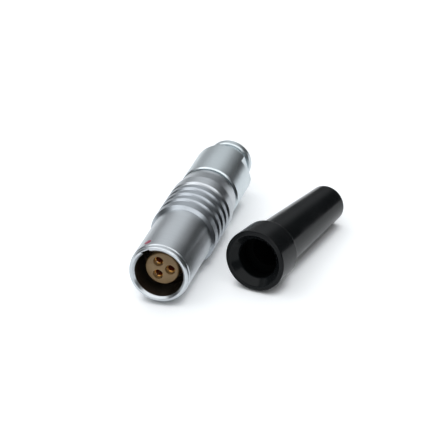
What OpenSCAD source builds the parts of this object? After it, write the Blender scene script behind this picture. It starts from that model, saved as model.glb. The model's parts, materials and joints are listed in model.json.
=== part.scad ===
// Free socket of a push pull circular connector, for three contacts, with its bend relief taken off.
// The mating axis runs along +Y, the mouth opens towards -Y and +Z is up.
// Stations along the axis are measured from the rim of the mouth.

/* [Shell] */
// Length from the rim to the rear face
shell_l = 32.1; // [31.6:0.1:32.4]
// Outer radius of the barrel
barrel_r = 5.65; // [5.55:0.05:5.9]
// Chamfer round the outside of the rim
rim_chamfer = 0.2; // [0.1:0.05:0.3]
// Radius of the slim nose behind the rim
nose_r = 5.5; // [5.4:0.05:5.6]
// Length of the slim nose
nose_l = 0.9; // [0.6:0.1:1.5]
// Radius of the neck behind the grip
neck_r = 5.7; // [5.6:0.05:5.9]
// Length of the neck and its taper, from the last land to the rear face
neck_l = 4.1; // [3.6:0.1:5]
// Length of the taper from the grip down to the neck
neck_taper_l = 3.2; // [2:0.1:3.5]
// Chamfer at the rear edge of the neck
neck_chamfer = 0.15; // [0.05:0.05:0.3]

/* [Grip] */
// Radius over the grip's lands
grip_r = 6.25; // [6.1:0.05:6.6]
// Length of the grip, from its front chamfer to the end of its last land
grip_l = 13; // [12.2:0.1:14]
// Length of the first land
first_land_l = 1.75; // [1:0.05:2]
// Number of grooves
groove_count = 4; // [1:1:4]
// Distance from one groove to the next
groove_pitch = 2.37; // [2:0.01:2.5]
// Width of a groove at its top
groove_w = 1.15; // [0.8:0.05:1.4]
// Depth of a groove
groove_depth = 0.35; // [0.2:0.05:0.55]

/* [Mouth] */
// Radius of the guide land in the mouth
mouth_r = 4.55; // [4.45:0.05:4.6]
// Length of the guide land behind its lead-in
mouth_land_l = 1.9; // [1:0.1:1.95]
// Lead-in chamfer of the mouth
lead_in = 0.4; // [0.2:0.05:0.45]
// Radial relief of the bore between the guide land and the latch groove
relief = 0.2; // [0.16:0.01:0.25]
// Distance from the front of the latch groove to the shoulder behind it
latch_to_shoulder = 3.4; // [2.8:0.1:4]
// Width of the latch groove
latch_w = 1.4; // [1:0.1:2]
// Depth of the latch groove below the relieved bore
latch_depth = 0.3; // [0.2:0.02:0.35]
// Width of the keyway
key_w = 1.7; // [1.2:0.1:2]
// Depth of the keyway below the guide land
key_depth = 0.55; // [0.3:0.05:0.6]
// Roll of the keyway round the axis, anticlockwise from +X as seen into the mouth
key_roll = 118; // [0:1:359]
// Radius of the red alignment dot
dot_r = 0.7; // [0.4:0.05:0.9]
// Station of the dot's middle
dot_s = 2.45; // [2:0.05:4]
// Depth of the dimple that holds the dot
dot_depth = 0.2; // [0.1:0.02:0.25]

/* [Inside of the shell] */
// Length of the housing bore, from the shoulder that the earthing crown stops against to the rear face
housing_l = 23.1; // [22.7:0.1:23.5]
// Radius of the housing bore behind the shoulder
house_r = 4.8; // [4.75:0.01:4.85]
// Radial gap of the pieces that slide into one another
seat_gap = 0.05; // [0.03:0.01:0.06]
// Axial gap between pieces that stop against one another
face_gap = 0.05; // [0.02:0.01:0.08]
// Length of the earthing crown
crown_l = 3.3; // [2.8:0.1:3.6]
// Thickness of the crown's sheet
crown_t = 0.18; // [0.12:0.01:0.22]
// Number of slots in the crown
crown_slots = 12; // [6:1:16]
// Length of the retaining ring
ring_l = 0.9; // [0.6:0.1:1.2]
// Gap between the two halves of the carrier
split_gap = 0.06; // [0.02:0.01:0.2]

/* [Insert] */
// Radius of the insulator's nose
insert_r = 3.1; // [3:0.05:3.15]
// Depth of the insert's face below the rim
face_s = 2.4; // [2.35:0.05:3]
// Radius of the insulator's flange
flange_r = 3.7; // [3.5:0.05:3.9]
// Length of the insulator's flange
flange_l = 2; // [1.5:0.1:2.2]
// Length of the front insulator behind its flange
front_tail_l = 1.6; // [1.4:0.1:1.8]
// Length of the rear insulator
rear_insulator_l = 3; // [2.5:0.1:3.2]

/* [Contacts] */
// Number of contacts
contact_count = 3; // [3:1:3]
// Radius of the circle that the contacts stand on
contact_pitch_r = 1.5; // [1.45:0.01:1.55]
// Outer radius of a contact's barrel
contact_r = 0.92; // [0.85:0.01:0.93]
// Radius of a contact's bore
contact_bore_r = 0.65; // [0.55:0.01:0.7]
// Depth of a contact's bore
contact_bore_l = 6.5; // [5:0.1:7]
// Depth of a contact's tip below the insert's face
contact_recess = 0.8; // [0.1:0.05:0.9]
// Radius of a contact behind its barrel
shank_r = 0.8; // [0.75:0.01:0.82]
// Length of a contact's tail behind the rear insulator
tail_cup_l = 2.6; // [2:0.1:2.8]
// Radius of the solder cup's bore
cup_bore_r = 0.6; // [0.5:0.01:0.64]
// Depth of the solder cup
cup_l = 3; // [2:0.1:3.2]
// Length of a contact's retention clip
clip_l = 2.6; // [2:0.1:2.7]
// Wall of a retention clip
clip_t = 0.28; // [0.2:0.01:0.28]

/* [Collet] */
// Length of the collet's flange
collet_flange_l = 1.2; // [1:0.1:1.4]
// Length of the collet
collet_l = 6; // [5.6:0.1:6.2]
// Depth of the collet's rear end below the rear face of the shell
collet_inset = 2.2; // [1.8:0.1:2.6]
// Radius of the collet's body
collet_r = 3.95; // [3.8:0.05:4]
// Radius of the collet at its rear end
collet_nose_r = 3.3; // [3.2:0.05:3.4]
// Length of the collet's cone
collet_cone_l = 2.5; // [2:0.1:2.8]
// Radius of the cable hole through the collet
clamp_r = 2.6; // [2.4:0.05:2.7]
// Number of slots that part the collet's fingers
collet_slots = 6; // [4:1:8]
// Width of a slot in the collet
collet_slot_w = 0.5; // [0.3:0.05:0.6]

/* [Collet nut] */
// Radius of the thread's bore at the rear of the shell
thread_r = 4.95; // [4.92:0.01:5]
// Length of the threaded bore
thread_l = 7.1; // [6.5:0.1:7.2]
// Radial gap between the nut's thread and the shell's
thread_gap = 0.05; // [0.03:0.01:0.06]
// Gap between the shell's rear face and the nut
nut_gap = 0.8; // [0.3:0.05:0.9]
// Length of the nut's threaded spigot
spigot_l = 6.6; // [6:0.1:6.8]
// Outer radius of the nut
nut_r = 5.8; // [5.7:0.05:6]
// Length of the nut's body
nut_l = 10.7; // [9:0.1:13]
// Chamfer round the nut's front edge
nut_chamfer = 0.25; // [0.15:0.05:0.5]
// Rounding of the nut's rear edge
nut_round = 0.3; // [0.1:0.05:0.4]
// Distance from the axis to the wrench flats
flat_d = 5.2; // [5.1:0.05:5.4]
// Length of the wrench flats
flat_l = 2.3; // [1.5:0.1:4]
// Roll of the wrench flats, anticlockwise from +X as seen into the mouth
flat_roll = 16; // [0:1:179]
// Radius of the cable bore through the nut
cable_r = 2.9; // [2.8:0.05:2.95]
// Radius of the neck that the bend relief grips
tail_neck_r = 3.8; // [3.6:0.05:3.9]
// Length of that neck
tail_neck_l = 3.6; // [3:0.1:4]
// Radius of the ring at the end of the tail
tail_ring_r = 4.45; // [4.3:0.05:4.6]
// Length of the ring at the end of the tail
tail_ring_l = 1.7; // [1.4:0.1:2]
// Chamfer at the front of that ring
tail_chamfer = 0.25; // [0.15:0.05:0.5]

/* [Bend relief] */
// Length of the bend relief
relief_l = 31.4; // [29:0.1:34]
// Radius of the collar at its mouth
collar_r = 5.85; // [5.7:0.05:6.1]
// Radius of the collar at its rear edge
collar_rear_r = 5.7; // [5.6:0.05:5.8]
// Length of the collar
collar_l = 6.2; // [6:0.1:7]
// Radius of the sleeve where it leaves the collar
sleeve_r = 4.8; // [4.5:0.05:4.85]
// Radius of the sleeve at its tip
tip_r = 3.7; // [3.4:0.05:3.9]
// Rounding of the collar's and the tip's edges
edge_round = 0.3; // [0.15:0.05:0.4]
// Radius of the hollow fillet between the collar and the sleeve
root_round = 0.4; // [0.2:0.05:0.45]
// Radius of the dish in the mouth's face
dish_r = 5; // [4.7:0.05:5.2]
// Depth of the dish, down to the hole
dish_l = 1.3; // [0.8:0.05:1.6]
// Radius of the hole in the mouth
lip_r = 3.7; // [3.5:0.05:3.75]
// Radius of the hole at the tip
exit_r = 2.5; // [2.3:0.05:2.6]
// Length of the straight hole at the tip
exit_l = 6; // [4:0.1:8]
// Place of the mouth's middle across the axis of the socket
relief_x = 15.2; // [14.8:0.1:20]
// Place of the mouth's middle along the axis of the socket
relief_y = 9.7; // [5:0.1:16]
// Turn of the bend relief away from the axis of the socket
relief_yaw = 11.9; // [0:0.1:20]

/* [Hidden] */
$fn = 96;
// How far a cut runs past the solid that it cuts
over = 1;

// Stations of the grip and of the shoulder, from the rear face forwards
grip_end_s = shell_l - neck_l;
grip_s = grip_end_s - grip_l;
shoulder_s = shell_l - housing_l;
latch_s = shoulder_s - latch_to_shoulder;

// Stations inside the shell, from the shoulder backwards
crown_s = shoulder_s + face_gap;
ring_s = crown_s + crown_l + face_gap;
carrier_s = ring_s + ring_l + face_gap;
carrier_wall = 0.7;
flange_s = carrier_s + carrier_wall;
front_end_s = flange_s + flange_l + front_tail_l;
rear_insulator_s = front_end_s + face_gap;
rear_end_s = rear_insulator_s + rear_insulator_l;
collet_end_s = shell_l - collet_inset;
collet_s = collet_end_s - collet_l;
carrier_end_s = collet_s - face_gap;
thread_s = shell_l - thread_l;
nut_s = shell_l + nut_gap;
spigot_s = nut_s - spigot_l;
nut_end_s = nut_s + nut_l;
tail_ring_s = nut_end_s + tail_neck_l;
tail_end_s = tail_ring_s + tail_ring_l;

// Radii that follow from a fit
seat_r = house_r - seat_gap;
relief_r = mouth_r + relief;
latch_r = relief_r + latch_depth;
spigot_r = thread_r - thread_gap;
grip_rise = grip_r - barrel_r;
floor_z = -grip_r;

// Radial gap of a contact or clip in its cavity, and of a clip on its contact
slip_gap = 0.03;
clip_gap = 0.04;
// Length of the room behind a clip, which the contact's shoulder fills
shoulder_room = 1;

// Contact cavities and their clips
tip_s = face_s + contact_recess;
cavity_r = contact_r + slip_gap;
clip_inner_r = shank_r + clip_gap;
clip_outer_r = clip_inner_r + clip_t;
clip_seat_r = clip_outer_r + slip_gap;
clip_seat_s = front_end_s - clip_l - shoulder_room;
clip_s = clip_seat_s + face_gap;
clip_end_s = clip_s + clip_l;
cup_r = contact_r - slip_gap;
cup_end_s = rear_end_s + tail_cup_l;

// Length, outer radius and wall of the cone that the cable's screen is folded over
cone_l = 1.4;
cone_r = 3.6;
cone_wall = 0.3;

// Room round the tail ring in the bend relief's pocket, across and along the axis
ring_gap = 0.1;
ring_play = 0.3;
// Length of the taper behind the pocket
throat_l = 2;

// Lean of the bend relief, which lies on its collar's rear edge and its tip
lean = atan((collar_rear_r - tip_r) / (relief_l - collar_l));
relief_z = floor_z + edge_round + (collar_rear_r - edge_round) * cos(lean)
           + (collar_l - edge_round) * sin(lean);

// Stands its children on the socket's axis, with local z backwards and local x at the roll angle
module on_axis(roll = 0) {
    rotate([0, -roll, 0]) rotate([-90, 0, 0]) children();
}

// Stands its children on the axis of one contact
module on_contact(i) {
    on_axis(key_roll + i * 360 / contact_count) translate([contact_pitch_r, 0, 0]) children();
}

// Turns a closed outline of [radius, station] points
module turned(outline) {
    rotate_extrude() polygon(outline);
}

// Points of an arc round a centre, from one angle to another
function arc(centre, r, from, to, steps = 6) =
    [for (i = [0 : steps]) let (a = from + (to - from) * i / steps) centre + r * [cos(a), sin(a)]];

// Outline of groove i of the grip: a steep front wall, a floor and a sloped rear wall
function groove(i) =
    let (s = grip_s + grip_rise + first_land_l + i * groove_pitch, front_run = groove_w / 10)
    [[grip_r, s], [grip_r - groove_depth, s + front_run],
     [grip_r - groove_depth, s + groove_w - groove_depth], [grip_r, s + groove_w]];

// Outline of the outside of the shell, from the rim backwards
function shell_outside() = concat(
    [[nose_r - rim_chamfer, 0], [nose_r, rim_chamfer], [nose_r, nose_l],
     [barrel_r, nose_l + barrel_r - nose_r], [barrel_r, grip_s], [grip_r, grip_s + grip_rise]],
    [for (i = [0 : groove_count - 1]) each groove(i)],
    [[grip_r, grip_end_s], [neck_r, grip_end_s + neck_taper_l],
     [neck_r, shell_l - neck_chamfer], [neck_r - neck_chamfer, shell_l]]);

// Outline of the inside of the shell, from the rear face forwards
function shell_inside() = [
    [thread_r + 2 * thread_gap, shell_l], [thread_r, shell_l - 2 * thread_gap],
    [thread_r, thread_s], [house_r, thread_s - (thread_r - house_r)],
    [house_r, shoulder_s], [mouth_r, shoulder_s],
    [mouth_r, latch_s + latch_w + latch_r - mouth_r], [latch_r, latch_s + latch_w],
    [latch_r, latch_s], [relief_r, latch_s],
    [relief_r, lead_in + mouth_land_l + relief], [mouth_r, lead_in + mouth_land_l],
    [mouth_r, lead_in], [mouth_r + lead_in, 0]];

// Turned outer shell with its grip, keyway, latch groove and dimple for the dot
module shell() {
    color("silver") difference() {
        on_axis() turned(concat(shell_outside(), shell_inside()));
        on_axis(key_roll) translate([mouth_r - over, -key_w / 2, -over])
            cube([over + key_depth, key_w, over + latch_s + latch_w / 2]);
        on_axis(key_roll) translate([barrel_r - dot_depth, 0, dot_s])
            rotate([0, 90, 0]) cylinder(r = dot_r, h = over);
    }
}

// Red enamel dot that marks where the keyway is
module alignment_dot() {
    gap = 0.01;
    proud = 0.03;
    color("crimson") intersection() {
        on_axis(key_roll) translate([barrel_r - dot_depth + gap, 0, dot_s])
            rotate([0, 90, 0]) cylinder(r = dot_r - gap, h = over);
        on_axis() cylinder(r = barrel_r + proud, h = dot_s + dot_r + over);
    }
}

// Slotted spring ring whose fingers press inwards on the plug
module earthing_crown() {
    band_l = 0.8;
    press = 0.25;
    slot_w = 0.35;
    finger_s = crown_s + crown_l - band_l;
    belly_s = (crown_s + finger_s) / 2;
    color("gainsboro") difference() {
        on_axis() turned([
            [seat_r - crown_t, crown_s], [seat_r, crown_s], [seat_r - press, belly_s],
            [seat_r, finger_s], [seat_r, crown_s + crown_l], [seat_r - crown_t, crown_s + crown_l],
            [seat_r - crown_t, finger_s], [seat_r - press - crown_t, belly_s]]);
        for (i = [0 : crown_slots - 1])
            on_axis(i * 360 / crown_slots) translate([insert_r, -slot_w / 2, crown_s - over])
                cube([house_r, slot_w, over + crown_l - band_l]);
    }
}

// Ring that holds the crown against its shoulder, with two notches for a spanner
module retaining_ring() {
    notch = 0.5;
    bore_r = insert_r + 2 * seat_gap;
    color("lightgray") difference() {
        on_axis() turned([
            [bore_r, ring_s], [seat_r - notch / 2, ring_s], [seat_r, ring_s + notch / 2],
            [seat_r, ring_s + ring_l], [bore_r, ring_s + ring_l]]);
        on_axis(key_roll) translate([-house_r, -notch / 2, ring_s - over])
            cube([2 * house_r, notch, over + notch / 2]);
    }
}

// Both halves of the insert carrier as one turned tube
module carrier_tube() {
    lip_l = 0.5;
    cup_room = 0.3;
    lip_inner_r = contact_pitch_r + contact_r + cup_room;
    room_r = 3.9;
    color("darkgray") on_axis() turned([
        [insert_r + seat_gap, carrier_s], [seat_r, carrier_s], [seat_r, carrier_end_s],
        [room_r, carrier_end_s], [room_r, rear_end_s + lip_l + face_gap],
        [lip_inner_r, rear_end_s + lip_l + face_gap], [lip_inner_r, rear_end_s + face_gap],
        [insert_r + seat_gap, rear_end_s + face_gap],
        [insert_r + seat_gap, flange_s + flange_l + face_gap],
        [flange_r + seat_gap, flange_s + flange_l + face_gap],
        [flange_r + seat_gap, flange_s - face_gap], [insert_r + seat_gap, flange_s - face_gap]]);
}

// One half of the carrier, with the window over its solder cups
module carrier_half(side) {
    window_l = 2;
    window_w = 3.2;
    difference() {
        carrier_tube();
        on_axis(key_roll) translate([-house_r, side > 0 ? -house_r * 2 + split_gap / 2 : -split_gap / 2,
                                     carrier_s - over])
            cube([2 * house_r, 2 * house_r, carrier_end_s - carrier_s + 2 * over]);
        on_axis(key_roll - side * 90) translate([insert_r, -window_w / 2, rear_end_s + window_l / 2])
            cube([house_r, window_w, window_l]);
    }
}

// Tan plastic nose that the mating plug's sleeve slides over
module insulator_front() {
    edge = 0.15;
    color("tan") difference() {
        on_axis() turned([
            [0, face_s], [insert_r - edge, face_s], [insert_r, face_s + edge], [insert_r, flange_s],
            [flange_r, flange_s], [flange_r, flange_s + flange_l], [insert_r, flange_s + flange_l],
            [insert_r, front_end_s], [0, front_end_s]]);
        for (i = [0 : contact_count - 1]) on_contact(i) {
            translate([0, 0, face_s - over]) cylinder(r = cavity_r, h = front_end_s + over);
            translate([0, 0, clip_seat_s]) cylinder(r = clip_seat_r, h = front_end_s);
        }
    }
}

// Plastic disc that closes the contact cavities from behind
module insulator_rear() {
    color("tan") difference() {
        on_axis() translate([0, 0, rear_insulator_s]) cylinder(r = insert_r, h = rear_insulator_l);
        for (i = [0 : contact_count - 1]) on_contact(i)
            translate([0, 0, rear_insulator_s - over])
                cylinder(r = cup_r + seat_gap, h = rear_insulator_l + 2 * over);
    }
}

// Turned gilt contact: slit barrel with its bore, shank, shoulder and solder cup
module contact(i) {
    mouth = 0.12;
    slit_w = 0.2;
    slit_l = 4.5;
    drill_point = 0.35;
    cup_cut_l = 2;
    cup_cut_x = 0.2;
    shoulder_r = clip_seat_r - clip_gap;
    shoulder_end_s = front_end_s - face_gap;
    color("gold") difference() {
        on_contact(i) turned([
            [contact_bore_r + mouth, tip_s], [contact_r, tip_s], [contact_r, clip_seat_s - face_gap],
            [shank_r, clip_seat_s], [shank_r, clip_end_s + face_gap],
            [shoulder_r, clip_end_s + face_gap], [shoulder_r, shoulder_end_s],
            [cup_r, shoulder_end_s], [cup_r, cup_end_s], [cup_bore_r, cup_end_s],
            [cup_bore_r, cup_end_s - cup_l], [0, cup_end_s - cup_l - drill_point],
            [0, tip_s + contact_bore_l + drill_point], [contact_bore_r, tip_s + contact_bore_l],
            [contact_bore_r, tip_s + mouth]]);
        on_contact(i) translate([-contact_r - over, -slit_w / 2, tip_s - over])
            cube([2 * (contact_r + over), slit_w, over + slit_l]);
        on_contact(i) translate([cup_cut_x, -contact_r, cup_end_s - cup_cut_l])
            cube([contact_r, 2 * contact_r, cup_cut_l + over]);
    }
}

// Slit spring tube that locks a contact in its cavity
module clip(i) {
    slit_w = 0.3;
    color("khaki") difference() {
        on_contact(i) turned([
            [clip_inner_r, clip_s], [clip_outer_r, clip_s],
            [clip_outer_r, clip_end_s], [clip_inner_r, clip_end_s]]);
        on_contact(i) translate([0, -slit_w / 2, clip_s - over])
            cube([contact_r + over, slit_w, clip_l + 2 * over]);
    }
}

// Cone that the cable's screen is folded over, inside the front of the collet
module shield_cone() {
    front_s = collet_s + face_gap;
    color("burlywood") on_axis() turned([
        [clamp_r, front_s], [cone_r, front_s], [cone_r, front_s + cone_wall],
        [clamp_r + cone_wall, collet_s + cone_l], [clamp_r, collet_s + cone_l]]);
}

// Outline of the collet's outside, grown by a gap
function collet_outside(gap) = [
    [collet_r + gap, collet_s + collet_flange_l], [collet_r + gap, collet_end_s - collet_cone_l],
    [collet_nose_r + gap, collet_end_s]];

// Slotted collet that the nut's cone closes on the cable
module collet() {
    tooth = 0.5;
    tooth_depth = 0.15;
    tooth_count = 4;
    slot_s = collet_s + collet_flange_l + collet_slot_w;
    color("darkgray") difference() {
        on_axis() turned(concat(
            [[cone_r + seat_gap, collet_s], [seat_r - seat_gap, collet_s],
             [seat_r - seat_gap, collet_s + collet_flange_l]],
            collet_outside(0),
            [for (i = [0 : tooth_count - 1])
                each [[clamp_r, collet_end_s - i * tooth],
                      [clamp_r + tooth_depth, collet_end_s - (i + 0.5) * tooth]]],
            [[clamp_r, collet_end_s - tooth_count * tooth], [clamp_r, collet_s + cone_l + face_gap],
             [clamp_r + cone_wall + seat_gap, collet_s + cone_l + face_gap],
             [cone_r + seat_gap, collet_s + 2 * face_gap + cone_wall]]));
        for (i = [0 : collet_slots - 1])
            on_axis(i * 360 / collet_slots) translate([0, -collet_slot_w / 2, slot_s])
                cube([house_r, collet_slot_w, collet_l]);
    }
}

// Nut with its threaded spigot, wrench flats and the grooved tail for the bend relief
module collet_nut() {
    undercut = 0.2;
    undercut_l = 0.9;
    bore_edge = 0.3;
    tail_edge = 0.3;
    inner_gap = seat_gap + thread_gap / 2;
    color("silver") difference() {
        on_axis() turned(concat(
            [[collet_r + inner_gap, spigot_s], [spigot_r - undercut, spigot_s],
             [spigot_r, spigot_s + undercut], [spigot_r, nut_s - undercut_l],
             [spigot_r - undercut, nut_s - undercut_l + undercut], [spigot_r - undercut, nut_s],
             [nut_r - nut_chamfer, nut_s], [nut_r, nut_s + nut_chamfer]],
            arc([nut_r - nut_round, nut_end_s - nut_round], nut_round, 0, 90),
            [[tail_neck_r, nut_end_s], [tail_neck_r, tail_ring_s],
             [tail_ring_r - tail_chamfer, tail_ring_s], [tail_ring_r, tail_ring_s + tail_chamfer],
             [tail_ring_r, tail_end_s - tail_edge], [tail_ring_r - tail_edge, tail_end_s],
             [cable_r + bore_edge, tail_end_s], [cable_r, tail_end_s - bore_edge],
             [cable_r, collet_end_s + bore_edge], [collet_nose_r + inner_gap, collet_end_s + bore_edge],
             [collet_nose_r + inner_gap, collet_end_s],
             [collet_r + inner_gap, collet_end_s - collet_cone_l]]));
        for (side = [0, 180])
            on_axis(flat_roll + side) translate([flat_d, -nut_r, nut_end_s - flat_l])
                cube([nut_r, 2 * nut_r, flat_l + over]);
    }
}

// Outline of the outside of the bend relief, from its mouth to its tip
function relief_outside() = concat(
    arc([collar_r - edge_round, edge_round], edge_round, -90, 0),
    arc([collar_rear_r - edge_round, collar_l - edge_round], edge_round, 0, 90),
    arc([sleeve_r + root_round, collar_l + root_round], root_round, -90, -180),
    arc([tip_r - edge_round, relief_l - edge_round], edge_round, 0, 90));

// Outline of the inside of the bend relief, from its tip to its mouth
function relief_inside() =
    let (lip_l = tail_neck_l - ring_play, pocket_r = tail_ring_r + ring_gap,
         throat_r = cable_r + ring_gap, end_s = lip_l + tail_ring_l + ring_play + tail_chamfer)
    [[exit_r + edge_round / 2, relief_l], [exit_r, relief_l - edge_round / 2],
     [exit_r, relief_l - exit_l], [throat_r, end_s + throat_l], [throat_r, end_s],
     [pocket_r, end_s], [pocket_r, lip_l + pocket_r - lip_r], [lip_r, lip_l],
     [lip_r, dish_l], [dish_r, 0]];

// Rubber bend relief, lying beside the socket on its collar and its tip
module bend_relief() {
    color("#1c1c1e") translate([relief_x, relief_y, relief_z]) rotate([0, 0, -relief_yaw])
        rotate([-lean, 0, 0]) on_axis() turned(concat(relief_outside(), relief_inside()));
}

shell();
alignment_dot();
earthing_crown();
retaining_ring();
carrier_half(1);  // carrier_left
carrier_half(-1);  // carrier_right
insulator_front();
insulator_rear();
contact(0);  // contact_1
contact(1);  // contact_2
contact(2);  // contact_3
clip(0);  // clip_1
clip(1);  // clip_2
clip(2);  // clip_3
shield_cone();
collet();
collet_nut();
bend_relief();
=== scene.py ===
"""Looks of a push pull circular socket and of the bend relief that lies beside it.

The part's frame is in metres. The mating axis is +Y, the mouth opens towards -Y and +Z is
up. Lengths in this file are in millimetres and become metres when a mesh is made. A station
is a distance along a turned form's axis, measured backwards from its mouth.
"""

from __future__ import annotations

import json
import logging
import math
from dataclasses import dataclass, field
from enum import Enum
from typing import NamedTuple

import bpy
import numpy as np
from bpy.types import ID, Material, Node, NodeInputs, NodeOutputs, NodeSocket, NodeTree, Object
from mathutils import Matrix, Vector

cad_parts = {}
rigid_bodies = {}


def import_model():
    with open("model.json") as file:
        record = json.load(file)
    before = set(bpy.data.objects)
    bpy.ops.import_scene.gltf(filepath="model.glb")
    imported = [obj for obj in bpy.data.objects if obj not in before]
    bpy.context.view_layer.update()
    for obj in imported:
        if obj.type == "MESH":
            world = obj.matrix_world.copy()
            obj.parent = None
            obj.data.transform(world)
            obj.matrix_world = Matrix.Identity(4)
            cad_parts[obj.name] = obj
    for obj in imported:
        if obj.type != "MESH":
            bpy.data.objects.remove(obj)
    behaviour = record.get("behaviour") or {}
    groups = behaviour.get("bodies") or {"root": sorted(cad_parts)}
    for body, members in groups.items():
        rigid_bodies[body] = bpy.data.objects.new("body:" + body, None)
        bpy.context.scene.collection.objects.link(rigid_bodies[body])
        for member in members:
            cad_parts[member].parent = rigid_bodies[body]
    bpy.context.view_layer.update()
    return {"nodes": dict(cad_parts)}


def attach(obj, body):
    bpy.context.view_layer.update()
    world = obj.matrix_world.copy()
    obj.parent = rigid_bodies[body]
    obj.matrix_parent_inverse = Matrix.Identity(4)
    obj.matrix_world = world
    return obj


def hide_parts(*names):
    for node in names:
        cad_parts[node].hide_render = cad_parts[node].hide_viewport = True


LOG = logging.getLogger("connector")
MM = 0.001
# Roll of the keyway, the dot and the first contact round the mating axis, in degrees
KEY_ROLL = 118.0
BARREL_R = 5.65
# Station of the middle of the alignment dot
DOT_S = 2.45
# Height of the table that both objects lie on
FLOOR_Z = -6.25

Array = np.ndarray
Triple = tuple[float, float, float]
Sources = dict[str, object]

for leftover in list(bpy.data.objects):
    bpy.data.objects.remove(leftover)
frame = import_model()


# ---------------- surfaces


# Most of an edge that the rounding of one of its corners may take
EDGE_SHARE = 0.45
# A side of an outline whose stations differ by less than this runs level
LEVEL = 1e-9
# A crossing nearer than this share to a side's end adds no row
NEAR_END = 1e-6
# Least cosine and sine that a radius is divided by
LEAST_COS = 0.2
LEAST_SIN = 1e-4


def eased(corners: list[Triple], steps: int) -> Array:
    """Rounds the corners of a closed outline.

    Each corner P with neighbours A and B becomes the quadratic curve
    (1-w)^2 P1 + 2w(1-w) P + w^2 P2, where P1 and P2 lie on the two edges at the
    rounding's distance from P, and never past EDGE_SHARE of an edge.

    Args:
        corners: radius, station and rounding of each corner. The rounding is the
            distance from the corner at which its curve starts.
        steps: number of pieces in each curve.

    Returns:
        The rounded outline as rows of (radius, station).
    """
    table = np.asarray(corners, float)
    corner, reach = table[:, :2], table[:, 2:]
    back = np.roll(corner, 1, axis=0) - corner
    ahead = np.roll(corner, -1, axis=0) - corner
    back_l = np.linalg.norm(back, axis=1, keepdims=True)
    ahead_l = np.linalg.norm(ahead, axis=1, keepdims=True)
    p1 = corner + back / back_l * np.minimum(reach, EDGE_SHARE * back_l)
    p2 = corner + ahead / ahead_l * np.minimum(reach, EDGE_SHARE * ahead_l)
    w = np.linspace(0.0, 1.0, steps + 1)[None, :, None]
    curve = (1 - w) ** 2 * p1[:, None] + 2 * w * (1 - w) * corner[:, None] + w**2 * p2[:, None]
    return curve.reshape(-1, 2)


def with_rows(outline: Array, stations: Array) -> Array:
    """Adds a row wherever a side of the outline crosses one of the stations.

    A side from A to B crosses station s at A + (B - A)(s - As) / (Bs - As).

    Args:
        outline: closed outline, rows of (radius, station).
        stations: stations that need a row of their own.

    Returns:
        The outline with the rows added in order.
    """
    start, end = outline, np.roll(outline, -1, axis=0)
    step = end[:, 1] - start[:, 1]
    sloped = np.abs(step) > LEVEL
    share = (stations[None, :] - start[:, 1:2]) / np.where(sloped, step, 1.0)[:, None]
    inside = sloped[:, None] & (share > NEAR_END) & (share < 1 - NEAR_END)
    side, which = np.nonzero(inside)
    added = start[side] + (end[side] - start[side]) * share[side, which][:, None]
    place = np.concatenate([np.arange(len(outline), dtype=float), side + share[side, which]])
    return np.concatenate([outline, added])[np.argsort(place, kind="stable")]


def turn_angles(count: int, *fine: tuple[float, float, int]) -> Array:
    """Angles round the axis: evenly spaced ones, and finer ones inside given bands.

    Args:
        count: number of evenly spaced angles.
        *fine: bands as (middle, half width, number of angles), in degrees.

    Returns:
        Sorted angles in radians from 0 to less than a full turn.
    """
    even = np.arange(count) * (360.0 / count)
    bands = [np.linspace(mid - half, mid + half, n) % 360.0 for mid, half, n in fine]
    degrees = np.unique(np.round(np.concatenate([even, *bands]), 4))
    return np.radians(degrees)


class Turned(NamedTuple):
    """Points of a turned form, one row a point of its outline and one column an angle."""

    radius: Array
    station: Array
    angle: Array


def turned(outline: Array, angles: Array) -> Turned:
    """Turns an outline round its axis.

    Args:
        outline: rows of (radius, station).
        angles: angles in radians at which the outline stands.

    Returns:
        The points.
    """
    shape = (len(outline), len(angles))
    radius, station = (np.broadcast_to(outline[:, i : i + 1], shape) for i in (0, 1))
    return Turned(radius, station, np.broadcast_to(angles, shape))


@dataclass(frozen=True)
class Seat:
    """Where a turned form stands: the start of its axis, and the axis's yaw and lean."""

    origin: Triple = (0.0, 0.0, 0.0)
    yaw: float = 0.0
    lean: float = 0.0

    def axes(self) -> tuple[Array, Array, Array]:
        """Unit vectors across, up and backwards along the axis, from the yaw and lean."""
        yaw, lean = math.radians(self.yaw), math.radians(self.lean)
        across = np.array([math.cos(yaw), -math.sin(yaw), 0.0])
        level = math.cos(lean)
        along = np.array([math.sin(yaw) * level, math.cos(yaw) * level, -math.sin(lean)])
        return across, np.cross(across, along), along

    def place(self, points: Turned) -> Array:
        """Where turned points stand, in metres.

        It is origin + radius (cos angle across + sin angle up) + station along.

        Args:
            points: the points in mm.

        Returns:
            One row a point.
        """
        radius, station, angle = points
        across, up, along = self.axes()
        place = (
            np.asarray(self.origin)
            + (radius * np.cos(angle))[..., None] * across
            + (radius * np.sin(angle))[..., None] * up
            + station[..., None] * along
        )
        return place * MM

    def measure(self, points: Array) -> tuple[Array, Array]:
        """Works out radius and station, in mm: place the other way round.

        Args:
            points: points in metres, one row each.

        Returns:
            The radii and the stations.
        """
        across, up, along = self.axes()
        offset = points / MM - np.asarray(self.origin)
        return np.hypot(offset @ across, offset @ up), offset @ along


SOCKET_SEAT = Seat()


def area_normals(points: Array, quads: Array) -> Array:
    """Normal of each vertex: the sum of its faces' area vectors, made one unit long.

    Large faces outweigh the small ones of a rounded edge, so flat and cylindrical
    walls stay true right up to the rounding.

    Args:
        points: vertices, one row each.
        quads: the four vertex numbers of each face.

    Returns:
        One unit normal a vertex.
    """
    a, b, c, d = (points[quads[:, i]] for i in range(4))
    area = np.cross(c - a, d - b)
    total = np.zeros_like(points)
    for column in range(4):
        np.add.at(total, quads[:, column], area)
    length = np.linalg.norm(total, axis=1, keepdims=True)
    return total / np.where(length > 0, length, 1.0)


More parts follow.
